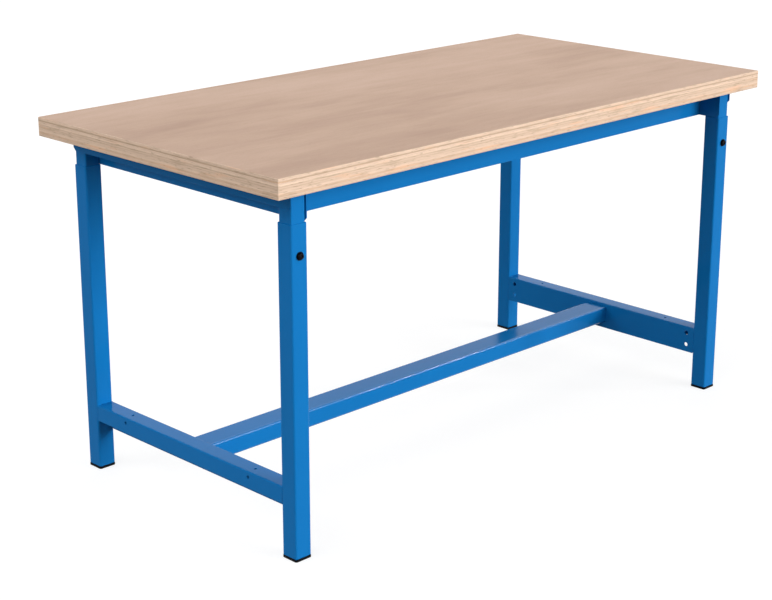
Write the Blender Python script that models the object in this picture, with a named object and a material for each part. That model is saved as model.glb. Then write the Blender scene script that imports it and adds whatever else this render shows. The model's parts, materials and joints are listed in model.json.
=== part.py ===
"""Height-adjustable workbench: a beech multiplex worktop on a blue steel frame.

Metres, +Z up, X along the bench, front side at -Y, origin on the floor under the middle of the top.
The worktop, the upper rails and the inner legs slide upwards in the outer legs.
"""

import math

import bmesh
import bpy
from mathutils import Matrix, Vector

# Worktop
TOP_LENGTH = 1.500
TOP_DEPTH = 0.750
TOP_THICKNESS = 0.040
TOP_ARRIS = 0.001
END_OVERHANG = 0.060
SIDE_OVERHANG = 0.035
LOW_HEIGHT = 0.783
LIFT = 0.300

# Fits
GAP = 0.0003
SLIDE_CLEARANCE = 0.0005
RAIL_FIT = 0.0005
BORE_CLEARANCE = 0.0005

# Telescopic legs
LEG_SIZE = 0.040
LEG_WALL = 0.002
LEG_CORNER = 0.004
INNER_WALL = 0.002
INNER_CORNER_EASE = 0.001
INNER_TAIL = 0.050

# Foot caps
FOOT_RIM = 0.005
FOOT_PROUD = 0.0006
FOOT_CHAMFER = 0.0008
FOOT_PLUG = 0.016
FOOT_WALL = 0.0025

# Folded side rails, used above and below
RAIL_SHEET = 0.002
RAIL_BEND = 0.003
RAIL_OUTER_FLANGE = 0.035
RAIL_INNER_FLANGE = 0.064
RAIL_END_CHAMFER = 0.0075
LOWER_RAIL_TOP = 0.149

# Folded long rails under the worktop
LONG_RAIL_WIDTH = 0.040
LONG_RAIL_FACE = 0.064
LONG_RAIL_BACK = 0.035
LONG_RAIL_SETBACK = 0.016

# Stretcher tube between the lower side rails
STRETCHER_WIDTH = 0.060
STRETCHER_HEIGHT = 0.040
STRETCHER_WALL = 0.002
STRETCHER_CORNER = 0.004
STRETCHER_DROP = 0.007

# Holes in the side rails and the bolts that join the frame
BOLT_SIZE = 0.008
BOLT_HOLE = 0.0095
BOLT_FIRST = 0.0145
BOLT_PITCH = 0.026
BOLT_ACROSS_FLATS = 0.013
BOLT_HEAD = 0.0053
BOLT_TAIL = 0.004
PLATE_THICKNESS = 0.005
PLATE_MARGIN = 0.0105
STRETCHER_BOLT_EDGE = 0.014

# Open holes at both ends of the lower side rails, for a shelf or other accessories
ACCESSORY_HOLE = 0.010
ACCESSORY_INSET = 0.020
ACCESSORY_FIRST = 0.0155
ACCESSORY_PITCH = 0.030

# Screws that hold the worktop, and their holes in the rails
FIXING_HOLE = 0.007
FIXING_Y = 0.200
FIXING_DROP = 0.012
LONG_FIXING_X = 0.350
WOOD_SCREW_SIZE = 0.0045
WOOD_SCREW_HEAD = 0.009
WOOD_SCREW_HEAD_HEIGHT = 0.0025
WOOD_SCREW_BITE = 0.022
WOOD_SCREW_TIP = 0.005

# Lock screws of the telescopic legs
LOCK_SIZE = 0.008
LOCK_DROP = 0.0615
LOCK_HEAD = 0.014
LOCK_HEAD_HEIGHT = 0.0044
LOCK_SOCKET = 0.005
LOCK_SOCKET_DEPTH = 0.0026
LOCK_TAIL = 0.003
WASHER_SIZE = 0.017
WASHER_THICKNESS = 0.0016
NUT_THICKNESS = 0.0065
NUT_SIDE_CLEARANCE = 0.002

# Facets: a round that meets a hexagon or a square has a whole number of facets on each of its sides
CORNER_STEPS = 4
ROUND_SIDES = 6 * 3
SMALL_SIDES = 6 * 2
NUT_SIDES = 4 * 4
DRILL_SIDES = 12
LEAST_RADIUS = 0.0002

# Places that follow from the sizes above
LEG_X = TOP_LENGTH / 2 - END_OVERHANG - LEG_SIZE / 2
LEG_Y = TOP_DEPTH / 2 - SIDE_OVERHANG - LEG_SIZE / 2
SEAT_Z = LOW_HEIGHT - TOP_THICKNESS
INNER_SIZE = LEG_SIZE - 2 * (LEG_WALL + SLIDE_CLEARANCE)
INNER_CORNER = LEG_CORNER - LEG_WALL + INNER_CORNER_EASE
RAIL_WIDTH = INNER_SIZE + 2 * (RAIL_FIT + RAIL_SHEET)
RAIL_INSIDE = max(RAIL_BEND, RAIL_SHEET)
UPPER_RAIL_TOP = SEAT_Z - GAP
LEG_TOP = UPPER_RAIL_TOP - RAIL_INNER_FLANGE - GAP
LEG_FOOT = FOOT_RIM + GAP
LOCK_Z = LEG_TOP - LOCK_DROP
INNER_TOP = UPPER_RAIL_TOP - RAIL_INSIDE - GAP
INNER_BOTTOM = LOCK_Z - LIFT - INNER_TAIL
RAIL_INNER_X = LEG_X - RAIL_WIDTH / 2
LEG_INSIDE_Y = LEG_Y - LEG_SIZE / 2
LONG_RAIL_Y = LEG_INSIDE_Y - LONG_RAIL_SETBACK - LONG_RAIL_WIDTH / 2
LONG_LENGTH = 2 * (RAIL_INNER_X - GAP)
STRETCHER_Z = LOWER_RAIL_TOP - STRETCHER_DROP - STRETCHER_HEIGHT / 2
STRETCHER_BOLT_Y = STRETCHER_WIDTH / 2 - STRETCHER_BOLT_EDGE
LOCK_HOLE = LOCK_SIZE + 2 * BORE_CLEARANCE

SIDES = {"left": -1, "right": 1}
ENDS = {"front": -1, "rear": 1}
CORNERS = {f"{end}_{side}": (x, y) for end, y in ENDS.items() for side, x in SIDES.items()}


# Outlines: each is a list of points, and the outlines of one solid have equally many


def rounded_rectangle(width, depth, radius):
    """Points of a rectangle with round corners, anticlockwise around the origin."""
    radius = min(max(radius, LEAST_RADIUS), 0.49 * width, 0.49 * depth)
    points = []
    for quarter, (x, y) in enumerate(((1, 1), (-1, 1), (-1, -1), (1, -1))):
        centre = Vector((x * (width / 2 - radius), y * (depth / 2 - radius)))
        for step in range(CORNER_STEPS + 1):
            angle = (quarter + step / CORNER_STEPS) * math.pi / 2
            points.append(centre + radius * Vector((math.cos(angle), math.sin(angle))))
    return points


def circle(diameter, sides):
    turns = [2 * math.pi * step / sides for step in range(sides)]
    return [diameter / 2 * Vector((math.cos(turn), math.sin(turn))) for turn in turns]


def polygon(corners, across_flats, points):
    """A regular polygon with points added along its sides, up to the number of points asked for."""
    circumradius = across_flats / 2 / math.cos(math.pi / corners)
    ring = circle(2 * circumradius, corners)
    per_side = points // corners
    outline = []
    for index, start in enumerate(ring):
        end = ring[(index + 1) % corners]
        outline += [start.lerp(end, step / per_side) for step in range(per_side)]
    return outline


def arc(centre, radius, start, end):
    """Points of an arc between two angles given in quarter turns."""
    turns = [(start + (end - start) * step / CORNER_STEPS) * math.pi / 2 for step in range(CORNER_STEPS + 1)]
    return [Vector(centre) + radius * Vector((math.cos(turn), math.sin(turn))) for turn in turns]


def folded_section(width, first_flange, second_flange, shortened=0.0):
    """Cross-section of sheet folded into an inverted U: its top at height 0, the first flange at -X."""
    half = width / 2
    outer = max(RAIL_BEND, LEAST_RADIUS)
    inner = max(RAIL_BEND - RAIL_SHEET, LEAST_RADIUS)
    inside = half - RAIL_SHEET
    fold = RAIL_SHEET + inner
    first = shortened - first_flange
    second = shortened - second_flange
    points = [Vector((-half, first))]
    points += arc((outer - half, -outer), outer, 2, 1)
    points += arc((half - outer, -outer), outer, 1, 0)
    points += [Vector((half, second)), Vector((inside, second))]
    points += arc((inside - inner, -fold), inner, 0, 1)
    points += arc((inner - inside, -fold), inner, 1, 2)
    points.append(Vector((-inside, first)))
    return points


# Placing outlines in space


def along_x(outline, x):
    return [Vector((x, point.x, point.y)) for point in outline]


def along_y(outline, y):
    return [Vector((point.x, y, point.y)) for point in outline]


def along_z(outline, z):
    return [Vector((point.x, point.y, z)) for point in outline]


def mirrored(outline):
    return [Vector((-point.x, point.y)) for point in outline]


# Solids


def loft(loops, closed=False):
    """A mesh through loops of points: capped at both ends, or closed from the last loop to the first."""
    mesh = bpy.data.meshes.new("solid")
    bm = bmesh.new()
    rings = [[bm.verts.new(point) for point in loop] for loop in loops]
    pairs = list(zip(rings, rings[1:]))
    if closed:
        pairs.append((rings[-1], rings[0]))
    else:
        bm.faces.new(rings[0])
        bm.faces.new(rings[-1])
    count = len(rings[0])
    for low, high in pairs:
        for index in range(count):
            after = (index + 1) % count
            bm.faces.new((low[index], low[after], high[after], high[index]))
    bmesh.ops.recalc_face_normals(bm, faces=bm.faces)
    bm.to_mesh(mesh)
    bm.free()
    return mesh


def tube(place, outside, inside, start, end):
    return loft([place(outside, start), place(outside, end), place(inside, end), place(inside, start)], True)


def prism(place, outline, start, end):
    return loft([place(outline, start), place(outline, end)])


def square_tube_outlines(width, depth, corner, wall):
    outside = rounded_rectangle(width, depth, corner)
    inside = rounded_rectangle(width - 2 * wall, depth - 2 * wall, corner - wall)
    return outside, inside


def material(name, colour, roughness, metallic):
    made = bpy.data.materials.new(name)
    made.use_nodes = True
    shader = made.node_tree.nodes["Principled BSDF"]
    shader.inputs["Base Color"].default_value = (*colour, 1.0)
    shader.inputs["Roughness"].default_value = roughness
    shader.inputs["Metallic"].default_value = metallic
    made.diffuse_color = (*colour, 1.0)
    return made


def empty(name, location=(0, 0, 0), parent=None):
    made = bpy.data.objects.new(name, None)
    made.location = location
    made.parent = parent
    bpy.context.scene.collection.objects.link(made)
    return made


def piece(name, mesh, finish, parent, location=(0, 0, 0), rotation=(0, 0, 0)):
    """One node: an object with its mesh, material and place."""
    made = bpy.data.objects.new(name, mesh)
    made.location = location
    made.rotation_euler = rotation
    made.parent = parent
    if not mesh.materials:
        mesh.materials.append(finish)
    mesh.shade_smooth()
    mesh.set_sharp_from_angle(angle=math.radians(30))
    bpy.context.scene.collection.objects.link(made)
    return made


def cut(target, meshes):
    """Cuts closed meshes, given in the target's own frame, out of the target."""
    for index, mesh in enumerate(meshes):
        cutter = bpy.data.objects.new(f"{target.name}_cutter_{index}", mesh)
        cutter.parent = target
        cutter.hide_render = True
        cutter.display_type = "WIRE"
        bpy.context.scene.collection.objects.link(cutter)
        boolean = target.modifiers.new("cut", "BOOLEAN")
        boolean.operation = "DIFFERENCE"
        boolean.solver = "EXACT"
        boolean.object = cutter


def drills(holes):
    """One cutter mesh for round holes, each a centre, an axis, a diameter and a length through the centre."""
    mesh = bpy.data.meshes.new("drills")
    bm = bmesh.new()
    for centre, axis, diameter, length in holes:
        turn = Vector((0, 0, 1)).rotation_difference(Vector(axis)).to_matrix().to_4x4()
        bmesh.ops.create_cone(
            bm,
            cap_ends=True,
            segments=DRILL_SIDES,
            radius1=diameter / 2,
            radius2=diameter / 2,
            depth=length,
            matrix=Matrix.Translation(centre) @ turn,
        )
    bm.to_mesh(mesh)
    bm.free()
    return mesh


# Fasteners, each along +Z with its head above the origin


def hex_bolt_mesh(length):
    head = polygon(6, BOLT_ACROSS_FLATS, SMALL_SIDES)
    shank = circle(BOLT_SIZE, SMALL_SIDES)
    return loft([along_z(shank, -length), along_z(shank, 0), along_z(head, 0), along_z(head, BOLT_HEAD)])


def wood_screw_mesh(length):
    head = circle(WOOD_SCREW_HEAD, SMALL_SIDES)
    crown = circle(0.7 * WOOD_SCREW_HEAD, SMALL_SIDES)
    shank = circle(WOOD_SCREW_SIZE, SMALL_SIDES)
    tip = circle(0.2 * WOOD_SCREW_SIZE, SMALL_SIDES)
    return loft(
        [
            along_z(tip, -length),
            along_z(shank, WOOD_SCREW_TIP - length),
            along_z(shank, 0),
            along_z(head, 0),
            along_z(head, 0.5 * WOOD_SCREW_HEAD_HEIGHT),
            along_z(crown, WOOD_SCREW_HEAD_HEIGHT),
        ]
    )


def lock_screw_mesh(length):
    """Button head with a hexagon socket: the head's crown is part of a circle's curve."""
    shank = circle(LOCK_SIZE, ROUND_SIDES)
    rim = circle(LOCK_HEAD, ROUND_SIDES)
    socket = polygon(6, LOCK_SOCKET, ROUND_SIDES)
    rim_height = 0.15 * LOCK_HEAD_HEIGHT
    loops = [along_z(shank, -length), along_z(shank, 0), along_z(rim, 0)]
    for lift in (0.0, 0.35, 0.65, 0.88):
        width = LOCK_HEAD * math.cos(lift * math.pi / 3)
        height = rim_height + (LOCK_HEAD_HEIGHT - rim_height) * math.sin(lift * math.pi / 2)
        loops.append(along_z(circle(width, ROUND_SIDES), height))
    face = loops[-1][0].z
    loops.append(along_z(socket, face))
    loops.append(along_z(socket, face - LOCK_SOCKET_DEPTH))
    return loft(loops)


def washer_mesh():
    outside = circle(WASHER_SIZE, ROUND_SIDES)
    inside = circle(LOCK_HOLE, ROUND_SIDES)
    return tube(along_z, outside, inside, GAP, GAP + WASHER_THICKNESS)


# Sub-assemblies


def build_worktop(finish, parent):
    arris = min(TOP_ARRIS, 0.45 * TOP_THICKNESS)
    full = [Vector((x * TOP_LENGTH / 2, y * TOP_DEPTH / 2)) for x, y in ((-1, -1), (1, -1), (1, 1), (-1, 1))]
    eased = [point - arris * Vector((math.copysign(1, point.x), math.copysign(1, point.y))) for point in full]
    mesh = loft(
        [
            along_z(eased, 0),
            along_z(full, arris),
            along_z(full, TOP_THICKNESS - arris),
            along_z(eased, TOP_THICKNESS),
        ]
    )
    top = piece("worktop", mesh, finish, parent)
    depth = WOOD_SCREW_BITE + GAP
    pilot = WOOD_SCREW_SIZE + 2 * GAP
    cut(top, [drills([((x, y, 0), (0, 0, 1), pilot, 2 * depth) for x, y in worktop_screw_places()])])


def worktop_screw_places():
    """Plan places of the worktop's screws: in the side rails, then in the long rails."""
    on_side_rails = [(x * LEG_X, y * FIXING_Y) for x in SIDES.values() for y in ENDS.values()]
    on_long_rails = [(x * LONG_FIXING_X, y * LONG_RAIL_Y) for x in SIDES.values() for y in ENDS.values()]
    return on_side_rails + on_long_rails


def build_worktop_screws(finish, parent):
    under_web = -GAP - RAIL_SHEET - GAP
    mesh = wood_screw_mesh(WOOD_SCREW_BITE - under_web)
    for number, (x, y) in enumerate(worktop_screw_places(), 1):
        piece(f"worktop_screw_{number}", mesh, finish, parent, (x, y, under_web), (math.pi, 0, 0))


def side_rail(name, side, length, chamfer, finish, parent, location):
    """A folded rail along Y, its short flange facing outwards, with the holes that all side rails have."""
    ends = [folded_section(RAIL_WIDTH, RAIL_OUTER_FLANGE, RAIL_INNER_FLANGE, cut_back) for cut_back in (chamfer, 0.0)]
    if side > 0:
        ends = [mirrored(section) for section in ends]
    tip, middle = ends
    half = length / 2
    if chamfer > 0:
        stations = [(tip, -half), (middle, chamfer - half), (middle, half - chamfer), (tip, half)]
    else:
        stations = [(middle, -half), (middle, half)]
    return piece(name, loft([along_y(outline, y) for outline, y in stations]), finish, parent, location)


def fixing_holes(side):
    """The small holes of a side rail, in its top and in its outer flange."""
    through = 2 * RAIL_SHEET
    holes = []
    for y in ENDS.values():
        holes.append(((0, y * FIXING_Y, -RAIL_SHEET / 2), (0, 0, 1), FIXING_HOLE, through))
        outer_face = side * (RAIL_WIDTH - RAIL_SHEET) / 2
        holes.append(((outer_face, y * FIXING_Y, -FIXING_DROP), (1, 0, 0), FIXING_HOLE, through))
    return holes


def inner_flange_holes(side, diameter, places):
    """Holes in a side rail's inner flange, at places along and below its top."""
    inner_face = -side * (RAIL_WIDTH - RAIL_SHEET) / 2
    return [((inner_face, y, -drop), (1, 0, 0), diameter, 2 * RAIL_SHEET) for y, drop in places]


def hole_pairs(y, first, pitch):
    """Places of two holes, one below the other, on both ends of a side rail."""
    return [(end * y, first + row * pitch) for end in ENDS.values() for row in (0, 1)]


def long_rail_bolt_places():
    return hole_pairs(LONG_RAIL_Y, BOLT_FIRST, BOLT_PITCH)


def stretcher_bolt_places():
    return [(end * STRETCHER_BOLT_Y, LOWER_RAIL_TOP - STRETCHER_Z) for end in ENDS.values()]


def build_side_rails(finish, upper_frame, lower_frame):
    """Upper rails that end flush with the outer legs, and lower rails between the outer legs."""
    upper_length = 2 * (LEG_Y + LEG_SIZE / 2)
    lower_length = 2 * (LEG_INSIDE_Y - GAP)
    for name, side in SIDES.items():
        place = (side * LEG_X, 0, UPPER_RAIL_TOP - SEAT_Z)
        upper = side_rail(
            f"upper_side_rail_{name}", side, upper_length, RAIL_END_CHAMFER, finish, upper_frame, place
        )
        bolt_holes = inner_flange_holes(side, BOLT_HOLE, long_rail_bolt_places())
        cut(upper, [drills(fixing_holes(side) + bolt_holes)])
        place = (side * LEG_X, 0, LOWER_RAIL_TOP)
        lower = side_rail(f"lower_side_rail_{name}", side, lower_length, 0.0, finish, lower_frame, place)
        places = hole_pairs(LEG_INSIDE_Y - ACCESSORY_INSET, ACCESSORY_FIRST, ACCESSORY_PITCH)
        open_holes = inner_flange_holes(side, ACCESSORY_HOLE, places)
        bolt_holes = inner_flange_holes(side, BOLT_HOLE, stretcher_bolt_places())
        cut(lower, [drills(fixing_holes(side) + open_holes + bolt_holes)])


def build_legs(finish, upper_frame, lower_frame):
    outer_mesh_outlines = square_tube_outlines(LEG_SIZE, LEG_SIZE, LEG_CORNER, LEG_WALL)
    inner_mesh_outlines = square_tube_outlines(INNER_SIZE, INNER_SIZE, INNER_CORNER, INNER_WALL)
    slot = rounded_rectangle(LOCK_HOLE, LIFT + LOCK_HOLE, LOCK_HOLE / 2)
    for name, (x, y) in CORNERS.items():
        mesh = tube(along_z, *outer_mesh_outlines, LEG_FOOT, LEG_TOP)
        outer = piece(f"outer_leg_{name}", mesh, finish, lower_frame, (x * LEG_X, y * LEG_Y, 0))
        face = y * (LEG_SIZE - LEG_WALL) / 2
        cut(outer, [drills([((0, face, LOCK_Z), (0, 1, 0), LOCK_HOLE, 2 * LEG_WALL)])])
        mesh = tube(along_z, *inner_mesh_outlines, INNER_BOTTOM - SEAT_Z, INNER_TOP - SEAT_Z)
        inner = piece(f"inner_leg_{name}", mesh, finish, upper_frame, (x * LEG_X, y * LEG_Y, 0))
        face = y * (INNER_SIZE - INNER_WALL) / 2
        middle = LOCK_Z - LIFT / 2 - SEAT_Z
        raised = [point + Vector((0, middle)) for point in slot]
        cut(inner, [prism(along_y, raised, face - INNER_WALL, face + INNER_WALL)])


def build_foot_caps(finish, parent):
    rim_size = LEG_SIZE + 2 * FOOT_PROUD
    rim = rounded_rectangle(rim_size, rim_size, LEG_CORNER + FOOT_PROUD)
    sole_size = rim_size - 2 * FOOT_CHAMFER
    sole = rounded_rectangle(sole_size, sole_size, LEG_CORNER + FOOT_PROUD - FOOT_CHAMFER)
    plug_size = LEG_SIZE - 2 * (LEG_WALL + GAP)
    plug, hollow = square_tube_outlines(plug_size, plug_size, LEG_CORNER - LEG_WALL, FOOT_WALL)
    mesh = loft(
        [
            along_z(sole, 0),
            along_z(rim, min(FOOT_CHAMFER, FOOT_RIM / 2)),
            along_z(rim, FOOT_RIM),
            along_z(plug, FOOT_RIM),
            along_z(plug, FOOT_RIM + FOOT_PLUG),
            along_z(hollow, FOOT_RIM + FOOT_PLUG),
            along_z(hollow, FOOT_RIM),
        ]
    )
    for name, (x, y) in CORNERS.items():
        piece(f"foot_cap_{name}", mesh, finish, parent, (x * LEG_X, y * LEG_Y, 0))


def threaded_plate(name, outline, holes, side, end_x, finish, parent, height):
    """A plate across the end of a rail or tube, flush with that end, with threaded holes for the bolts."""
    start = end_x - PLATE_THICKNESS
    mesh = prism(along_x, outline, side * start, side * end_x)
    plate = piece(name, mesh, finish, parent, (0, 0, height))
    middle = side * (start + end_x) / 2
    bore = BOLT_SIZE + 2 * BORE_CLEARANCE
    cut(plate, [drills([((middle, y, z), (1, 0, 0), bore, 2 * PLATE_THICKNESS) for y, z in holes])])


def build_long_rails(finish, parent):
    """The two rails under the long edges of the worktop, each with a threaded plate in both ends."""
    top = UPPER_RAIL_TOP - SEAT_Z
    section = folded_section(LONG_RAIL_WIDTH, LONG_RAIL_FACE, LONG_RAIL_BACK)
    plate_width = LONG_RAIL_WIDTH - 2 * (RAIL_SHEET + GAP)
    plate_top = -RAIL_INSIDE - GAP
    plate_bottom = -BOLT_FIRST - BOLT_PITCH - PLATE_MARGIN
    plate = rounded_rectangle(plate_width, plate_top - plate_bottom, LEAST_RADIUS)
    raised = [point + Vector((0, (plate_top + plate_bottom) / 2)) for point in plate]
    for end, y in ENDS.items():
        outline = section if y < 0 else mirrored(section)
        mesh = prism(along_x, outline, -LONG_LENGTH / 2, LONG_LENGTH / 2)
        rail = piece(f"upper_long_rail_{end}", mesh, finish, parent, (0, y * LONG_RAIL_Y, top))
        holes = [((x * LONG_FIXING_X, 0, -RAIL_SHEET / 2), (0, 0, 1), FIXING_HOLE, 2 * RAIL_SHEET) for x in (-1, 1)]
        cut(rail, [drills(holes)])
        for name, side in SIDES.items():
            middle = y * LONG_RAIL_Y
            placed = [point + Vector((middle, 0)) for point in raised]
            bolts = [(middle, -BOLT_FIRST), (middle, -BOLT_FIRST - BOLT_PITCH)]
            label = f"long_rail_plate_{end}_{name}"
            threaded_plate(label, placed, bolts, side, LONG_LENGTH / 2, finish, parent, top)


def build_stretcher(finish, parent):
    outlines = square_tube_outlines(STRETCHER_WIDTH, STRETCHER_HEIGHT, STRETCHER_CORNER, STRETCHER_WALL)
    mesh = tube(along_x, *outlines, -LONG_LENGTH / 2, LONG_LENGTH / 2)
    piece("stretcher", mesh, finish, parent, (0, 0, STRETCHER_Z))
    inset = 2 * (STRETCHER_WALL + GAP)
    corner = STRETCHER_CORNER - STRETCHER_WALL
    plate = rounded_rectangle(STRETCHER_WIDTH - inset, STRETCHER_HEIGHT - inset, corner)
    bolts = [(y * STRETCHER_BOLT_Y, 0) for y in ENDS.values()]
    for name, side in SIDES.items():
        label = f"stretcher_plate_{name}"
        threaded_plate(label, plate, bolts, side, LONG_LENGTH / 2, finish, parent, STRETCHER_Z)


def build_frame_bolts(finish, upper_frame, lower_frame):
    """Bolts through the inner flanges of the side rails, their heads inside the rails."""
    grip = GAP + RAIL_SHEET + GAP + PLATE_THICKNESS
    mesh = hex_bolt_mesh(grip + BOLT_TAIL)
    head_x = RAIL_INNER_X + RAIL_SHEET + GAP
    for name, side in SIDES.items():
        turn = (0, side * math.pi / 2, 0)
        for number, (y, drop) in enumerate(long_rail_bolt_places(), 1):
            place = (side * head_x, y, UPPER_RAIL_TOP - SEAT_Z - drop)
            piece(f"long_rail_bolt_{name}_{number}", mesh, finish, upper_frame, place, turn)
        for number, (y, drop) in enumerate(stretcher_bolt_places(), 1):
            place = (side * head_x, y, LOWER_RAIL_TOP - drop)
            piece(f"stretcher_bolt_{name}_{number}", mesh, finish, lower_frame, place, turn)


def build_locks(black, steel, lower_frame):
    """Lock screw, washer and clamp nut of each leg, on the leg's face towards the long side of the bench."""
    leg_stack = LEG_WALL + SLIDE_CLEARANCE + INNER_WALL + GAP
    head_seat = GAP + WASHER_THICKNESS + GAP
    screw = lock_screw_mesh(head_seat + leg_stack + NUT_THICKNESS + LOCK_TAIL)
    washer = washer_mesh()
    nut_width = INNER_SIZE - 2 * (INNER_WALL + NUT_SIDE_CLEARANCE)
    eighth = Matrix.Rotation(math.pi / 4, 2)
    square = [eighth @ point for point in polygon(4, nut_width, NUT_SIDES)]
    bore = [eighth @ point for point in circle(LOCK_HOLE, NUT_SIDES)]
    nut = tube(along_z, square, bore, -leg_stack - NUT_THICKNESS, -leg_stack)
    for name, (x, y) in CORNERS.items():
        place = (x * LEG_X, y * (LEG_Y + LEG_SIZE / 2), LOCK_Z)
        turn = (-y * math.pi / 2, 0, 0)
        axis = empty(f"lock_axis_{name}", place, lower_frame)
        axis.rotation_euler = turn
        piece(f"lock_washer_{name}", washer, black, axis)
        piece(f"lock_screw_{name}", screw, black, axis, (0, 0, head_seat))
        piece(f"clamp_nut_{name}", nut, steel, axis)


def main():
    for old in list(bpy.data.objects):
        bpy.data.objects.remove(old, do_unlink=True)
    beech = material("beech_multiplex", (0.58, 0.42, 0.32), 0.5, 0.0)
    blue = material("blue_powder_coat", (0.012, 0.21, 0.53), 0.35, 0.0)
    plastic = material("black_plastic", (0.012, 0.012, 0.013), 0.5, 0.0)
    black = material("black_steel", (0.01, 0.01, 0.012), 0.35, 0.6)
    zinc = material("zinc_plated_steel", (0.55, 0.56, 0.58), 0.35, 1.0)
    lower_frame = empty("lower_frame")
    upper_frame = empty("upper_frame", (0, 0, SEAT_Z), lower_frame)
    build_worktop(beech, upper_frame)
    build_worktop_screws(zinc, upper_frame)
    build_legs(blue, upper_frame, lower_frame)
    build_foot_caps(plastic, lower_frame)
    build_side_rails(blue, upper_frame, lower_frame)
    build_long_rails(blue, upper_frame)
    build_stretcher(blue, lower_frame)
    build_frame_bolts(black, upper_frame, lower_frame)
    build_locks(black, zinc, lower_frame)


main()
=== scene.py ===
"""Looks of the height-adjustable workbench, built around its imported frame.

Metres, +Z up, X along the bench, front side at -Y. Every node gets a finer mesh with eased edges, and every
surface a procedural finish: powder coat, beech multiplex, moulded plastic, blackened and plated steel.
"""

import json
import math
from collections import namedtuple

import bmesh
import bpy
from mathutils import Matrix, Vector


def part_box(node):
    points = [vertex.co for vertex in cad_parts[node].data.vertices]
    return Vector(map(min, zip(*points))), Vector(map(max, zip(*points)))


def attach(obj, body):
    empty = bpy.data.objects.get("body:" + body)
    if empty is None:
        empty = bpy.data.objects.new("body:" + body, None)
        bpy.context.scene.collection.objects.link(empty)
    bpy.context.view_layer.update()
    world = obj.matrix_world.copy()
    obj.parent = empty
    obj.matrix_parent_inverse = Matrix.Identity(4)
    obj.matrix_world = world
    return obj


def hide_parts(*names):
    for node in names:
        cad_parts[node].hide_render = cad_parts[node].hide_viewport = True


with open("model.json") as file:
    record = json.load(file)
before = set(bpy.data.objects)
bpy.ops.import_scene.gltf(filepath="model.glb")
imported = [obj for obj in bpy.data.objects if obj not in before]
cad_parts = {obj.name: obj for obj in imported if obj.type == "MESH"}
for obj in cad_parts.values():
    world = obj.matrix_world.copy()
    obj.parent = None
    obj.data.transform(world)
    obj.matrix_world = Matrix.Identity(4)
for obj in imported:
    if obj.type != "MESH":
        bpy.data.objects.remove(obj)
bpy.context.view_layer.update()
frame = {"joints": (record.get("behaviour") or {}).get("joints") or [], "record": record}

# Camera: its place and aim give the photograph's viewing angle
CAMERA_PLACE = (-2.751, -2.671, 1.541)
CAMERA_AIM = (-0.055, 0.055, 0.393)
CAMERA_LENS = 82.2
CAMERA_SHIFT_Y = -0.05

# Tubes and folded sheet of the frame
TUBE_WALL = 0.002
TUBE_CORNER = 0.004
INNER_TUBE_CORNER = 0.003
SHEET = 0.002
BEND = 0.003
SHORT_FLANGE = 0.035
RAIL_END_CHAMFER = 0.0075

# Rounding of edges: the common one, the least that an outline keeps, and that of the outer legs' ends
EASE = 0.0004
LEAST_EASE = 0.00002
LEG_END_EASE = 0.0015

# Holes in the frame
BOLT_HOLE = 0.0095
ACCESSORY_HOLE = 0.010
ACCESSORY_INSET = 0.020
ACCESSORY_FIRST = 0.0155
ACCESSORY_PITCH = 0.030
FIXING_HOLE = 0.007
FIXING_DROP = 0.012
FIXING_Y = 0.200
SLOT_WIDTH = 0.009
PLATE_BORE = 0.009

# Painted weld beads between the lower rails and the legs
WELD_RADIUS = 0.0018
WELD_INSET = 0.0012
WELD_PITCH = 0.0017
WELD_STEP = 0.00043
WELD_RIPPLE = 0.12
WELD_BLUNTNESS = 0.1
WELD_SIDES = 12

# Worktop
TOP_CORNER = 0.0015
TOP_ARRIS = 0.0011
PLY_THICKNESS = 0.0021
PLY_GROOVE = 0.00010
PILOT_HOLE = 0.0051
PILOT_DEPTH = 0.0223

# Threads, lock screws, washers and clamp nuts
THREAD_SIZE = 0.008
THREAD_PITCH = 0.00125
THREAD_DEPTH = 0.0007
THREAD_STEPS = 6
LOCK_HEAD = 0.014
LOCK_HEAD_HEIGHT = 0.0043
LOCK_CROWN = 0.6
LOCK_SOCKET = 0.005
LOCK_SOCKET_MOUTH = 0.00625
LOCK_SOCKET_DEPTH = 0.0026
LOCK_SOCKET_FLOOR = 0.00125
LOCK_SOCKET_FLOOR_DEPTH = 0.00338
WASHER_WALL = 0.004
NUT_CORNER = 0.0008

# Frame bolts
BOLT_ACROSS_FLATS = 0.013
BOLT_HEAD_HEIGHT = 0.0053
BOLT_CHAMFER = math.radians(30)
BOLT_FACE = 0.0122
BOLT_FACE_HEIGHT = 0.0002

# Wood screws
WOOD_SCREW_SIZE = 0.0045
WOOD_SCREW_HEAD = 0.009
WOOD_SCREW_HEAD_HEIGHT = 0.0025
WOOD_SCREW_SHOULDER = 0.001125
WOOD_SCREW_CROWN = 0.55
WOOD_SCREW_TIP = 0.005
WOOD_SCREW_POINT = 0.0009
RECESS_ARM = 0.0024
RECESS_FLOOR_ARM = 0.00144
RECESS_HALF_WIDTH = 0.0006
RECESS_DEPTH = 0.0014

# Foot caps
FOOT_RIM = 0.005
FOOT_ROUNDING = 0.0008
FOOT_CORNER = 0.0046
FOOT_PLUG = 0.0354
FOOT_WALL = 0.0025

# Facets, and the angle above which an edge is shaded sharp
CORNER_STEPS = 8
EASE_STEPS = 4
ROUND_SIDES = 48
HOLE_SIDES = 32
DOME_STEPS = 10
HEXAGON_SIDES = 6
SHARP_ANGLE = math.radians(35)

X_AXIS = (1, 0, 0)
Y_AXIS = (0, 1, 0)
Z_AXIS = (0, 0, 1)
DOWN = (0, 0, -1)

# Sides, ends and legs of the bench, each with the way it faces outwards: along X for a side, else along Y
SIDES = {"left": -1, "right": 1}
ENDS = {"front": -1, "rear": 1}
CORNERS = {f"{end}_{side}": outward for end, outward in ENDS.items() for side in SIDES}

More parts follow.
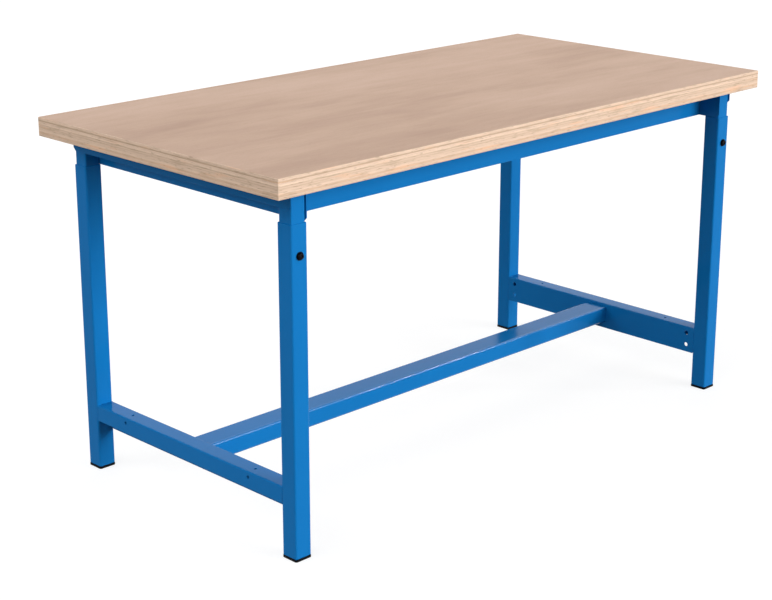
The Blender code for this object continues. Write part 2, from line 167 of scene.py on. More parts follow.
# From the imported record
BODY_OF = {node: body for body, nodes in frame["record"]["behaviour"]["bodies"].items() for node in nodes}
SLOT_OF = {part["node"]: part["material_slot"] for part in frame["record"]["subparts"]}
LIFT = next(joint["range_m"][1] for joint in frame["joints"] if joint["name"] == "height_slide")


# Measures of the frame's nodes

Extent = namedtuple("Extent", "low high middle size")


def measure(node):
    """A node's lowest and highest corner, its middle and its size."""
    low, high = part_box(node)
    return Extent(low, high, (low + high) / 2, high - low)


def nodes_named(prefix):
    """Nodes whose names start with a prefix, in the record's order."""
    return [node for node in SLOT_OF if node.startswith(prefix)]


def middles(prefix):
    """Middles of the nodes whose names start with a prefix."""
    return [measure(node).middle for node in nodes_named(prefix)]


# Outlines


def heading(angle):
    return Vector((math.cos(angle), math.sin(angle)))


def arc(centre, radius, start, end, steps=CORNER_STEPS):
    """Points of an arc between two angles given in quarter turns."""
    angles = [(start + (end - start) * step / steps) * math.pi / 2 for step in range(steps + 1)]
    return [Vector(centre) + radius * heading(angle) for angle in angles]


def circle(diameter, sides=ROUND_SIDES):
    return [diameter / 2 * heading(2 * math.pi * step / sides) for step in range(sides)]


def rounded_rectangle(width, depth, radius, steps=CORNER_STEPS, left_radius=None):
    """Points of a rectangle with round corners, anticlockwise.

    Its left corners can have a radius of their own.
    """
    radii = {1: radius, -1: radius if left_radius is None else left_radius}
    points = []
    for quarter, (x, y) in enumerate(((1, 1), (-1, 1), (-1, -1), (1, -1))):
        centre = (x * (width / 2 - radii[x]), y * (depth / 2 - radii[x]))
        points += arc(centre, radii[x], quarter, quarter + 1, steps)
    return points


def hexagon(across_flats):
    """A hexagon with points along its sides, so that it can be lofted to a circle."""
    corners = circle(across_flats / math.cos(math.pi / HEXAGON_SIDES), HEXAGON_SIDES)
    per_side = ROUND_SIDES // HEXAGON_SIDES
    points = []
    for corner, after in zip(corners, corners[1:] + corners[:1]):
        points += [corner.lerp(after, step / per_side) for step in range(per_side)]
    return points


def cross(arm, half_width):
    """A cross by the length and half width of its arms, its points at the angles of a circle's points."""
    near_zero = 1e-6
    points = []
    for point in circle(2.0):
        along, aside = (max(abs(value), near_zero) for value in point)
        reach = max(min(arm / along, half_width / aside), min(half_width / along, arm / aside))
        points.append(reach * point)
    return points


def folded_outline(width, first, second, inset=0.0, shortened=0.0):
    """Outline of sheet folded into an inverted U, its top at height 0 and its first flange at -X.

    The inset moves the whole outline into the sheet, and both flanges can be shortened.
    """
    half = width / 2 - inset
    inside = width / 2 - SHEET + inset
    outer = BEND - inset
    inner = BEND - SHEET + inset
    tip = max(EASE - inset, LEAST_EASE)
    first_end = shortened + inset - first
    second_end = shortened + inset - second
    roof = -SHEET + inset - inner
    points = arc((tip - half, first_end + tip), tip, 3, 2, EASE_STEPS)
    points += arc((outer - half, -inset - outer), outer, 2, 1)
    points += arc((half - outer, -inset - outer), outer, 1, 0)
    points += arc((half - tip, second_end + tip), tip, 0, -1, EASE_STEPS)
    points += arc((inside + tip, second_end + tip), tip, -1, -2, EASE_STEPS)
    points += arc((inside - inner, roof), inner, 0, 1)
    points += arc((inner - inside, roof), inner, 1, 2)
    points += arc((-inside - tip, first_end + tip), tip, 4, 3, EASE_STEPS)
    return points


def eased_end(ease):
    """Steps of a rounded end: how far each lies behind the end, and how far its outline is drawn in."""
    turns = [step / EASE_STEPS * math.pi / 2 for step in range(EASE_STEPS + 1)]
    return [(ease * (1 - math.cos(turn)), ease * (1 - math.sin(turn))) for turn in turns]


# Placing outlines in space


def along_x(outline, x):
    return [Vector((x, point.x, point.y)) for point in outline]


def along_y(outline, y):
    return [Vector((point.x, y, point.y)) for point in outline]


def along_z(outline, z):
    return [Vector((point.x, point.y, z)) for point in outline]


def mirrored(outline):
    return [Vector((-point.x, point.y)) for point in outline]


def shifted(outline, x, y):
    return [point + Vector((x, y)) for point in outline]


def pointing(place, axis):
    """Places a mesh that is made along +Z at a point, along an axis."""
    turn = Vector(Z_AXIS).rotation_difference(Vector(axis)).to_matrix().to_4x4()
    return Matrix.Translation(place) @ turn


# Meshes


def loft(loops, closed=False):
    """A mesh through loops of points: capped at both ends, or closed from the last loop to the first."""
    mesh = bpy.data.meshes.new("piece")
    bm = bmesh.new()
    rings = [[bm.verts.new(point) for point in loop] for loop in loops]
    pairs = list(zip(rings, rings[1:]))
    if closed:
        pairs.append((rings[-1], rings[0]))
    else:
        bm.faces.new(rings[0])
        bm.faces.new(rings[-1])
    count = len(rings[0])
    for low, high in pairs:
        for index in range(count):
            after = (index + 1) % count
            bm.faces.new((low[index], low[after], high[after], high[index]))
    bmesh.ops.recalc_face_normals(bm, faces=bm.faces)
    bm.to_mesh(mesh)
    bm.free()
    return mesh


def swept_wall(place, outline_at, wall, start, end, ease, outer_ease):
    """A strip of wall with rounded edges, carried round an outline that is given by its inset."""
    loops = []
    for point in rounded_rectangle(wall, end - start, ease, EASE_STEPS, outer_ease):
        loops.append(place(outline_at(wall / 2 + point.x), (start + end) / 2 + point.y))
    return loft(loops, closed=True)


def tube(place, width, depth, corner, start, end, outer_ease=EASE):
    """A tube with rounded corners and eased ends."""

    def outline_at(inset):
        return rounded_rectangle(width - 2 * inset, depth - 2 * inset, corner - inset)

    return swept_wall(place, outline_at, TUBE_WALL, start, end, EASE, outer_ease)


def between_ends(place, stations, start, end):
    """A solid through outlines, each at its distance behind the one end and again behind the other."""
    near = [place(outline, start + back) for outline, back in stations]
    far = [place(outline, end - back) for outline, back in reversed(stations)]
    return loft(near + far)


def eased_block(place, width, depth, corner, start, end):
    """A solid along a rounded rectangle, with eased edges at both ends."""
    stations = []
    for back, inset in eased_end(EASE):
        stations.append((rounded_rectangle(width - 2 * inset, depth - 2 * inset, corner), back))
    return between_ends(place, stations, start, end)


def folded_rail(place, flipped, width, flanges, start, end, chamfer=0.0):
    """A folded rail from start to end, with eased ends and, if asked for, chamfered flange corners.

    The first of its two flanges is at -X of the outline, or at +X where the outline is flipped.
    """
    steps = [(back, inset, max(chamfer - back, 0.0)) for back, inset in eased_end(EASE)]
    if chamfer > 0:
        steps.append((chamfer, 0.0, 0.0))
    stations = []
    for back, inset, shortened in steps:
        outline = folded_outline(width, *flanges, inset, shortened)
        stations.append((mirrored(outline) if flipped else outline, back))
    return between_ends(place, stations, start, end)


def drills(holes):
    """One mesh of round cutters, each a centre, an axis, a diameter and a length through the centre."""
    mesh = bpy.data.meshes.new("drills")
    bm = bmesh.new()
    for centre, axis, diameter, length in holes:
        bmesh.ops.create_cone(
            bm,
            cap_ends=True,
            segments=HOLE_SIDES,
            radius1=diameter / 2,
            radius2=diameter / 2,
            depth=length,
            matrix=pointing(centre, axis),
        )
    bm.to_mesh(mesh)
    bm.free()
    return mesh


def sheet_hole(centre, axis, diameter):
    """A hole through folded sheet, in the form that drills takes."""
    return centre, axis, diameter, 2 * SHEET


def cut(mesh, cutter_mesh):
    """The mesh with the cutter taken out of it."""
    body = bpy.data.objects.new("cut_body", mesh)
    cutter = bpy.data.objects.new("cutter", cutter_mesh)
    for made in (body, cutter):
        bpy.context.scene.collection.objects.link(made)
    boolean = body.modifiers.new("cut", "BOOLEAN")
    boolean.operation = "DIFFERENCE"
    boolean.solver = "EXACT"
    boolean.object = cutter
    depsgraph = bpy.context.evaluated_depsgraph_get()
    result = bpy.data.meshes.new_from_object(body.evaluated_get(depsgraph))
    for made in (body, cutter):
        bpy.data.objects.remove(made)
    return result


def show(name, mesh, finishes, body, place=None):
    """Shows a mesh with its finishes, on the body that it rides on."""
    made = bpy.data.objects.new(name, mesh)
    if place is not None:
        made.matrix_world = place
    # A mesh that several pieces share gets its finishes with the first of them
    if not mesh.materials:
        for finish in finishes:
            mesh.materials.append(finish)
    mesh.shade_smooth()
    mesh.set_sharp_from_angle(angle=SHARP_ANGLE)
    bpy.context.scene.collection.objects.link(made)
    normals = made.modifiers.new("even shading", "WEIGHTED_NORMAL")
    normals.keep_sharp = True
    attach(made, body)
    return made


def piece(node, mesh, finishes, place=None):
    """Shows a mesh in place of a node, on the node's body."""
    made = show(f"{node}_finish", mesh, finishes, BODY_OF[node], place)
    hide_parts(node)


# Finishes: small helpers for node trees


def new_finish(name):
    """A new material, with its node tree and its shader."""
    made = bpy.data.materials.new(name)
    made.use_nodes = True
    return made, made.node_tree, made.node_tree.nodes["Principled BSDF"]


def connect(tree, node, inputs):
    """Gives a node's inputs, by name or number, each a value or another node's output."""
    for key, value in inputs.items():
        if isinstance(value, bpy.types.NodeSocket):
            tree.links.new(value, node.inputs[key])
        else:
            node.inputs[key].default_value = value


def add(tree, kind, inputs, **settings):
    """Adds a node with its inputs and settings."""
    node = tree.nodes.new(kind)
    for key, value in settings.items():
        setattr(node, key, value)
    connect(tree, node, inputs)
    return node


def opaque(colour):
    """A colour with its alpha, or a node's output as it is."""
    return (*colour, 1.0) if isinstance(colour, tuple) else colour


def grey(level):
    return (level, level, level, 1.0)


def object_coordinates(tree):
    return add(tree, "ShaderNodeTexCoord", {}).outputs["Object"]


def noise(tree, vector, scale, detail=2.0, roughness=0.5, distortion=0.0):
    """Noise stretched by a scale per metre along each axis."""
    inputs = {
        "Vector": add(tree, "ShaderNodeMapping", {"Vector": vector, "Scale": scale}).outputs["Vector"],
        "Scale": 1.0,
        "Detail": detail,
        "Roughness": roughness,
        "Distortion": distortion,
    }
    return add(tree, "ShaderNodeTexNoise", inputs).outputs[0]


def math_node(tree, operation, first, second):
    return add(tree, "ShaderNodeMath", {0: first, 1: second}, operation=operation).outputs[0]


def remap(tree, value, source, target, kind="SMOOTHSTEP"):
    """Takes a value from one range to another and holds it there beyond the ends."""
    inputs = {
        "Value": value,
        "From Min": source[0],
        "From Max": source[1],
        "To Min": target[0],
        "To Max": target[1],
    }
    return add(tree, "ShaderNodeMapRange", inputs, interpolation_type=kind).outputs[0]


def mix(tree, factor, first, second):
    """Mixes two colours, each a colour or a node's output, through the Mix node's colour sockets."""
    inputs = {0: factor, 6: opaque(first), 7: opaque(second)}
    return add(tree, "ShaderNodeMix", inputs, data_type="RGBA").outputs[2]


def ramp(tree, value, stops):
    """A colour ramp through stops, each a position and a colour."""
    node = add(tree, "ShaderNodeValToRGB", {"Fac": value})
    elements = node.color_ramp.elements
    while len(elements) < len(stops):
        elements.new(1.0)
    for element, (position, colour) in zip(elements, stops):
        element.position = position
        element.color = opaque(colour)
    return node.outputs["Color"]


def bump(tree, height, distance, strength):
    inputs = {"Height": height, "Distance": distance, "Strength": strength}
    return add(tree, "ShaderNodeBump", inputs).outputs["Normal"]


# Powder coat: its colour drifts between two blues, and its gloss is that of flat faces or of rolled corners

DEEP_BLUE = (0.005, 0.149, 0.428)
PALE_BLUE = (0.006, 0.167, 0.464)
PAINT_GLOSS = 0.03
CORNER_GLOSS = 0.55


def powder_coat(name, gloss):
    """Smooth powder coat with a faint orange peel."""
    finish, tree, shader = new_finish(name)
    coordinates = object_coordinates(tree)
    clouds = noise(tree, coordinates, (7, 7, 7), detail=3)
    patches = noise(tree, coordinates, (45, 45, 45), detail=2)
    peel = noise(tree, coordinates, (520, 520, 520), detail=1)
    surface = {
        "Base Color": mix(tree, clouds, DEEP_BLUE, PALE_BLUE),
        "Roughness": remap(tree, patches, (0.3, 0.7), (0.11, 0.16)),
        "Normal": bump(tree, peel, distance=0.00002, strength=0.20),
        "Specular IOR Level": gloss,
    }
    connect(tree, shader, surface)
    return finish


# Beech: tones of the veneer by the level of its figure, and of the plies by depth below the worktop's upper
# face, as a share of its thickness

WOOD_GLOSS = 0.1
VENEER_TONES = (
    (0.34, (0.445, 0.299, 0.222)),
    (0.46, (0.511, 0.351, 0.262)),
    (0.55, (0.557, 0.389, 0.295)),
    (0.68, (0.606, 0.433, 0.338)),
)
FLECK = (0.313, 0.177, 0.111)

PALE_PLY = (0.790, 0.605, 0.465)
LIGHT_PLY = (0.750, 0.565, 0.430)
MIDDLE_PLY = (0.700, 0.520, 0.390)
DULL_PLY = (0.625, 0.455, 0.335)
DARK_PLY = (0.520, 0.365, 0.260)
WARM_PLY = (0.660, 0.460, 0.325)
PLY_TONES = (
    (0.000, LIGHT_PLY),
    (0.110, LIGHT_PLY),
    (0.140, DARK_PLY),
    (0.185, DARK_PLY),
    (0.205, LIGHT_PLY),
    (0.260, LIGHT_PLY),
    (0.280, PALE_PLY),
    (0.345, PALE_PLY),
    (0.360, DULL_PLY),
    (0.395, DULL_PLY),
    (0.410, MIDDLE_PLY),
    (0.455, MIDDLE_PLY),
    (0.470, DULL_PLY),
    (0.505, DULL_PLY),
    (0.520, MIDDLE_PLY),
    (0.630, MIDDLE_PLY),
    (0.645, LIGHT_PLY),
    (0.720, LIGHT_PLY),
    (0.740, WARM_PLY),
    (0.820, WARM_PLY),
    (0.840, MIDDLE_PLY),
    (0.935, MIDDLE_PLY),
    (0.950, DULL_PLY),
    (1.000, MIDDLE_PLY),
)
PLY_WAVER = 0.0008
GLUE = (0.340, 0.220, 0.145)
GLUE_CORE = 0.00012
GLUE_REACH = 0.00030
FIBRE = (0.500, 0.345, 0.245)

# Marks on the plies: scale and detail of their noise, its levels where they start and are full, their
# strength and their colour
PLY_MARKS = {
    "warm_patches": ((9, 95, 1), 2, (0.54, 0.70), 0.50, (0.800, 0.490, 0.310)),
    "dull_patches": ((15, 170, 1), 3, (0.54, 0.70), 0.40, (0.380, 0.270, 0.180)),
    "pores": ((52, 480, 1), 1, (0.60, 0.72), 0.50, (0.300, 0.190, 0.120)),
}


def beech_face():
    """Sliced beech veneer: broad soft bands, patches and streaks along the bench, with fine dark flecks."""
    finish, tree, shader = new_finish("beech_face_finish")
    coordinates = object_coordinates(tree)
    bands = noise(tree, coordinates, (1.3, 6.0, 1), detail=2, distortion=0.3)
    patches = noise(tree, coordinates, (8, 26, 1), detail=3)
    streaks = noise(tree, coordinates, (4, 70, 1), detail=4, roughness=0.6)
    fibres = noise(tree, coordinates, (12, 620, 1), detail=3)
    figure = math_node(tree, "MULTIPLY", bands, 0.52)
    for layer, share in ((patches, 0.22), (streaks, 0.14), (fibres, 0.12)):
        figure = math_node(tree, "ADD", figure, math_node(tree, "MULTIPLY", layer, share))
    specks = noise(tree, coordinates, (85, 1500, 1), detail=1)
    flecks = remap(tree, specks, (0.62, 0.74), (0.0, 0.32))
    surface = {
        "Base Color": mix(tree, flecks, ramp(tree, figure, VENEER_TONES), FLECK),
        "Roughness": remap(tree, fibres, (0.2, 0.8), (0.60, 0.72)),
        "Normal": bump(tree, fibres, distance=0.00005, strength=0.25),
        "Specular IOR Level": WOOD_GLOSS,
    }
    connect(tree, shader, surface)
    return finish


def beech_edge():
    """Edge of the multiplex board: plies of alternating tone, broken glue lines, fibres, patches, pores."""
    finish, tree, shader = new_finish("beech_edge_finish")
    board = measure("worktop")
    axes = add(tree, "ShaderNodeSeparateXYZ", {0: object_coordinates(tree)}).outputs
    along = math_node(tree, "ADD", axes["X"], axes["Y"])
    flat = add(tree, "ShaderNodeCombineXYZ", {"X": along, "Y": axes["Z"]}).outputs[0]
    waver = noise(tree, flat, (5, 20, 1), detail=2)
    height = math_node(tree, "ADD", axes["Z"], math_node(tree, "MULTIPLY", waver, PLY_WAVER))
    depth = remap(tree, height, (board.low.z, board.high.z), (1.0, 0.0), "LINEAR")
    colour = ramp(tree, depth, PLY_TONES)
    from_line = math_node(tree, "PINGPONG", height, PLY_THICKNESS / 2)
    lines = remap(tree, from_line, (GLUE_CORE, GLUE_REACH), (1.0, 0.0))
    breaks = remap(tree, noise(tree, flat, (22, 260, 1)), (0.40, 0.60), (0.08, 0.60))
    colour = mix(tree, math_node(tree, "MULTIPLY", lines, breaks), colour, GLUE)
    fibres = noise(tree, flat, (16, 900, 1), detail=3)
    colour = mix(tree, remap(tree, fibres, (0.35, 0.7), (0.0, 0.25)), colour, FIBRE)
    for scale, detail, levels, strength, tone in PLY_MARKS.values():
        marks = remap(tree, noise(tree, flat, scale, detail), levels, (0.0, strength))
        colour = mix(tree, marks, colour, tone)
    surface = {
        "Base Color": colour,
        "Roughness": remap(tree, fibres, (0.2, 0.8), (0.62, 0.75)),
        "Normal": bump(tree, fibres, distance=0.00008, strength=0.35),
        "Specular IOR Level": WOOD_GLOSS,
    }
    connect(tree, shader, surface)
    return finish


# Plastic and steel: the darkest and the lightest tone of each, and the gloss of the black ones

PLASTIC_TONES = ((0.002, 0.002, 0.003), (0.005, 0.005, 0.006))
OXIDE_TONES = ((0.001, 0.001, 0.002), (0.003, 0.003, 0.005))
ZINC_TONES = ((0.46, 0.47, 0.49), (0.64, 0.65, 0.66))
PLASTIC_GLOSS = 0.05
OXIDE_GLOSS = 0.06


def moulded_plastic():
    """Black plastic with the fine grain of its mould."""
    finish, tree, shader = new_finish("black_plastic_finish")
    coordinates = object_coordinates(tree)
    clouds = noise(tree, coordinates, (60, 60, 60), detail=2)
    grain = noise(tree, coordinates, (2600, 2600, 2600), detail=1)
    surface = {
        "Base Color": mix(tree, clouds, *PLASTIC_TONES),
        "Roughness": remap(tree, grain, (0.3, 0.7), (0.40, 0.52)),
        "Normal": bump(tree, grain, distance=0.00003, strength=0.4),
        "Specular IOR Level": PLASTIC_GLOSS,
    }
    connect(tree, shader, surface)
    return finish


def black_oxide():
    """Blackened steel of lock screws, washers and frame bolts."""
    finish, tree, shader = new_finish("black_steel_finish")
    clouds = noise(tree, object_coordinates(tree), (900, 900, 900), detail=2)
    surface = {
        "Base Color": mix(tree, clouds, *OXIDE_TONES),
        "Roughness": remap(tree, clouds, (0.3, 0.7), (0.12, 0.20)),
        "Specular IOR Level": OXIDE_GLOSS,
    }
    connect(tree, shader, surface)
    return finish


def zinc_plate():
    """Plated steel of wood screws and clamp nuts."""
    finish, tree, shader = new_finish("zinc_plated_steel_finish")
    clouds = noise(tree, object_coordinates(tree), (420, 420, 420), detail=3)
    surface = {
        "Base Color": mix(tree, clouds, *ZINC_TONES),
        "Roughness": remap(tree, clouds, (0.3, 0.7), (0.28, 0.42)),
        "Metallic": 1.0,
    }
    connect(tree, shader, surface)
    return finish


# Worktop

# A face of the board is level, and shows the veneer, where its normal is upright by more than this
LEVEL_NORMAL = 0.99


def build_worktop(face, edge):
    """The board: its edges have a fine groove at each glue line, and its arrises are eased."""
    board = measure("worktop")
    levels = [(board.low.z + back, inset) for back, inset in eased_end(TOP_ARRIS)]
    first = math.ceil((board.low.z + 2 * TOP_ARRIS) / PLY_THICKNESS)
    last = math.floor((board.high.z - 2 * TOP_ARRIS) / PLY_THICKNESS)
    for number in range(first, last + 1):
        line = number * PLY_THICKNESS
        levels += [(line - 2 * PLY_GROOVE, 0.0), (line, PLY_GROOVE), (line + 2 * PLY_GROOVE, 0.0)]
    levels += [(board.high.z - back, inset) for back, inset in reversed(eased_end(TOP_ARRIS))]
    loops = []
    for height, inset in levels:
        width = board.size.x - 2 * inset
        depth = board.size.y - 2 * inset
        loops.append(along_z(rounded_rectangle(width, depth, TOP_CORNER, EASE_STEPS), height))
    pilots = []
    for screw in middles("worktop_screw_"):
        pilots.append(((screw.x, screw.y, board.low.z), Z_AXIS, PILOT_HOLE, 2 * PILOT_DEPTH))
    mesh = cut(loft(loops), drills(pilots))
    for polygon in mesh.polygons:
        polygon.material_index = 0 if abs(polygon.normal.z) > LEVEL_NORMAL else 1
    piece("worktop", mesh, [face, edge])


# Frame

# Corner radius of each leg tube and rounding of its outer ends
LEG_TUBES = {"outer": (TUBE_CORNER, LEG_END_EASE), "inner": (INNER_TUBE_CORNER, EASE)}

# A face of the stretcher is part of a rolled corner where its normal leans by more than this
LEANING_NORMAL = 0.03


def build_legs(blue):
    """Outer legs with a hole for the lock screw, and inner legs with a slot as long as the lift."""
    for corner, outward in CORNERS.items():
        screw = measure(f"lock_washer_{corner}").middle
        for kind, (radius, ease) in LEG_TUBES.items():
            node = f"{kind}_leg_{corner}"
            leg = measure(node)
            mesh = tube(along_z, leg.size.x, leg.size.y, radius, leg.low.z, leg.high.z, ease)
            face = outward * (leg.size.y - TUBE_WALL) / 2
            if kind == "outer":
                cutter = drills([((0, face, screw.z), Y_AXIS, SLOT_WIDTH, 2 * TUBE_WALL)])
            else:
                slot = rounded_rectangle(SLOT_WIDTH, LIFT + SLOT_WIDTH, SLOT_WIDTH / 2)
                slot = shifted(slot, 0, screw.z - LIFT / 2)
                cutter = loft([along_y(slot, face - TUBE_WALL), along_y(slot, face + TUBE_WALL)])
            place = Matrix.Translation((leg.middle.x, leg.middle.y, 0))
            piece(node, cut(mesh, cutter), [blue], place)


def build_side_rails(blue):
    """Side rails with fixing holes in their top and short flange, and bolt holes in their tall flange."""
    for name, side in SIDES.items():
        for level in ("upper", "lower"):
            node = f"{level}_side_rail_{name}"
            rail = measure(node)
            flanges = (SHORT_FLANGE, rail.size.z)
            chamfer = RAIL_END_CHAMFER if level == "upper" else 0.0
            mesh = folded_rail(along_y, side > 0, rail.size.x, flanges, rail.low.y, rail.high.y, chamfer)
            outer_face = side * (rail.size.x - SHEET) / 2
            holes = []
            for end in ENDS.values():
                holes.append(sheet_hole((0, end * FIXING_Y, -SHEET / 2), Z_AXIS, FIXING_HOLE))
                holes.append(sheet_hole((outer_face, end * FIXING_Y, -FIXING_DROP), X_AXIS, FIXING_HOLE))
            if level == "upper":
                bolts = middles(f"long_rail_bolt_{name}_")
            else:
                bolts = middles(f"stretcher_bolt_{name}_")
                for end in ENDS.values():
                    for drop in (ACCESSORY_FIRST, ACCESSORY_FIRST + ACCESSORY_PITCH):
                        place = (-outer_face, end * (rail.high.y - ACCESSORY_INSET), -drop)
                        holes.append(sheet_hole(place, X_AXIS, ACCESSORY_HOLE))
            for bolt in bolts:
                holes.append(sheet_hole((-outer_face, bolt.y, bolt.z - rail.high.z), X_AXIS, BOLT_HOLE))
            place = Matrix.Translation((rail.middle.x, 0, rail.high.z))
            piece(node, cut(mesh, drills(holes)), [blue], place)


def build_plate(node, bolts, blue):
    """A plate across a rail's end, with a hole for each of its bolts."""
    plate = measure(node)
    thickness, width, height = plate.size
    mesh = eased_block(along_x, width, height, EASE, -thickness / 2, thickness / 2)
    holes = []
    for bolt in bolts:
        place = (0, bolt.y - plate.middle.y, bolt.z - plate.middle.z)
        holes.append((place, X_AXIS, PLATE_BORE, 2 * thickness))
    piece(node, cut(mesh, drills(holes)), [blue], Matrix.Translation(plate.middle))


def held_by(rail, fasteners):
    """Those of the fasteners' middles that lie between the front and the rear of a long rail."""
    return [fastener for fastener in fasteners if rail.low.y < fastener.y < rail.high.y]


def build_long_rails(blue):
    """The long rails, each with two holes for the worktop's screws and a bolt plate in both ends."""
    for end, outward in ENDS.items():
        node = f"upper_long_rail_{end}"
        rail = measure(node)
        flanges = (rail.size.z, SHORT_FLANGE)
        mesh = folded_rail(along_x, outward > 0, rail.size.y, flanges, rail.low.x, rail.high.x)
        screws = held_by(rail, middles("worktop_screw_"))
        holes = [sheet_hole((screw.x, 0, -SHEET / 2), Z_AXIS, FIXING_HOLE) for screw in screws]
        place = Matrix.Translation((0, rail.middle.y, rail.high.z))
        piece(node, cut(mesh, drills(holes)), [blue], place)
        for name in SIDES:
            bolts = held_by(rail, middles(f"long_rail_bolt_{name}_"))
            build_plate(f"long_rail_plate_{end}_{name}", bolts, blue)


def build_stretcher(blue, glossy_blue):
    """The flat tube between the lower rails, its rolled corners glossier than its faces."""
    beam = measure("stretcher")
    mesh = tube(along_x, beam.size.y, beam.size.z, TUBE_CORNER, beam.low.x, beam.high.x)
    for polygon in mesh.polygons:
        lean = min(abs(polygon.normal.y), abs(polygon.normal.z))
        polygon.material_index = 1 if lean > LEANING_NORMAL else 0
    place = Matrix.Translation((0, beam.middle.y, beam.middle.z))
    piece("stretcher", mesh, [blue, glossy_blue], place)
    for name in SIDES:
        build_plate(f"stretcher_plate_{name}", middles(f"stretcher_bolt_{name}_"), blue)


# Weld beads


def spaced(path, spacing):
    """Points at even distances along a path."""
    lengths = [(after - before).length for before, after in zip(path, path[1:])]
    count = round(sum(lengths) / spacing)
    points = []
    index = 0
    passed = 0.0
    for step in range(count + 1):
        goal = sum(lengths) * step / count
        while index < len(lengths) - 1 and passed + lengths[index] < goal:
            passed += lengths[index]
            index += 1
        points.append(path[index].lerp(path[index + 1], (goal - passed) / lengths[index]))
    return points


def weld_bead(path, across):
    """A bead along a path: rings that swell and shrink with each ripple and draw in at both ends."""
    centres = spaced(path, WELD_STEP)
    last = len(centres) - 1
    loops = []
    for index, centre in enumerate(centres):
        ahead = centres[min(index + 1, last)] - centres[max(index - 1, 0)]
        outward = ahead.cross(across).normalized()
        swell = 1 - WELD_RIPPLE * abs(math.cos(math.pi * index * WELD_STEP / WELD_PITCH))
        from_end = min(index, last - index) * WELD_STEP / WELD_RADIUS
        taper = math.sqrt(1 - (1 - min(from_end + WELD_BLUNTNESS, 1)) ** 2)
        ring = circle(2 * WELD_RADIUS * swell * taper, WELD_SIDES)
        loops.append([centre + point.x * outward + point.y * across for point in ring])
    return loft(loops)


def build_welds(blue):
    """Beads where the lower rails meet the legs: up the outer flange, over the top, down the inner flange."""
    for name, side in SIDES.items():
        node = f"lower_side_rail_{name}"
        rail = measure(node)
        half = rail.size.x / 2 - WELD_INSET
        bend = BEND - WELD_INSET
        path = [Vector((-half, WELD_RADIUS - SHORT_FLANGE))]
        path += arc((bend - half, -WELD_INSET - bend), bend, 2, 1)
        path += arc((half - bend, -WELD_INSET - bend), bend, 1, 0)
        path.append(Vector((half, WELD_RADIUS - rail.size.z)))
        if side > 0:
            path = mirrored(path)
        for end, outward in ENDS.items():
            leg = measure(f"outer_leg_{end}_{name}")
            leg_face = leg.high.y if outward < 0 else leg.low.y
            mesh = weld_bead(along_y(path, 0), Vector(Y_AXIS))
            place = Matrix.Translation((rail.middle.x, leg_face, rail.high.z))
            show(f"weld_{end}_{name}", mesh, [blue], BODY_OF[node], place)


# Foot caps


def foot_cap_mesh(rim, height):
    """A hollow plug on a rim, lofted from its sole at height 0 up, and down again into the hollow."""
    plug_corner = TUBE_CORNER - TUBE_WALL
    hollow = FOOT_PLUG - 2 * FOOT_WALL
    levels = []
    for back, inset in eased_end(FOOT_ROUNDING):
        levels.append((rim - 2 * inset, FOOT_CORNER - inset, back))
    for back, inset in reversed(eased_end(EASE)):
        levels.append((rim - 2 * inset, FOOT_CORNER - inset, FOOT_RIM - back))
    levels.append((FOOT_PLUG, plug_corner, FOOT_RIM))
    levels.append((FOOT_PLUG, plug_corner, height - EASE))
    levels.append((FOOT_PLUG - 2 * EASE, plug_corner, height))
    levels.append((hollow, plug_corner, height))
    levels.append((hollow, plug_corner, FOOT_RIM))
    return loft([along_z(rounded_rectangle(width, width, radius), level) for width, radius, level in levels])


def build_foot_caps(plastic):
    """Plugs with a rim under the leg, rounded at the floor and at the rim's upper edge."""
    for corner in CORNERS:
        node = f"foot_cap_{corner}"
        cap = measure(node)
        place = Matrix.Translation((cap.middle.x, cap.middle.y, cap.low.z))
        piece(node, foot_cap_mesh(cap.size.x, cap.size.z), [plastic], place)


# Fasteners, each along +Z with its head above height 0


def turned(profile):
    """Loops of a turned shape, from pairs of diameter and height."""
    return [along_z(circle(diameter), height) for diameter, height in profile]


def domed(diameter, crown, low, high):
    """Loops of a domed head between two heights, its side drawn in along a share of a quarter arch."""
    profile = []
    for step in range(DOME_STEPS + 1):
        turn = math.pi / 2 * step / DOME_STEPS
        profile.append((diameter * math.cos(crown * turn), low + (high - low) * math.sin(turn)))
    return turned(profile)


def threaded_shank(length):
    """Loops of a screw thread from its chamfered tip to height 0, climbing by its pitch with each turn."""
    loops = []
    steps = math.ceil(length / THREAD_PITCH * THREAD_STEPS)
    for step in range(steps + 1):
        height = length * (step / steps - 1)
        tip = max(THREAD_PITCH - length - height, 0.0)
        loop = []
        for side, point in enumerate(circle(THREAD_SIZE)):
            phase = (height / THREAD_PITCH - side / ROUND_SIDES) % 1.0
            drawn_in = THREAD_DEPTH * abs(2 * phase - 1)
            loop.append(point * (1 - max(drawn_in, tip) / (THREAD_SIZE / 2)))
        loops.append(along_z(loop, height))
    return loops


def lock_screw_mesh(length):
    """A button-head screw with a hexagon socket."""
    loops = threaded_shank(length)
    loops += turned([(LOCK_HEAD - 2 * EASE, 0.0), (LOCK_HEAD, EASE)])
    loops += domed(LOCK_HEAD, LOCK_CROWN, 2 * EASE, LOCK_HEAD_HEIGHT)
    loops += turned([(LOCK_SOCKET_MOUTH, LOCK_HEAD_HEIGHT)])
    for depth in (EASE / 2, LOCK_SOCKET_DEPTH):
        loops.append(along_z(hexagon(LOCK_SOCKET), LOCK_HEAD_HEIGHT - depth))
    loops += turned([(LOCK_SOCKET_FLOOR, LOCK_HEAD_HEIGHT - LOCK_SOCKET_FLOOR_DEPTH)])
    return loft(loops)


def washer_mesh(diameter, thickness):
    """A flat ring with eased edges."""

    def outline_at(inset):
        return circle(diameter - 2 * inset)

    return swept_wall(along_z, outline_at, WASHER_WALL, -thickness / 2, thickness / 2, EASE / 2, EASE)


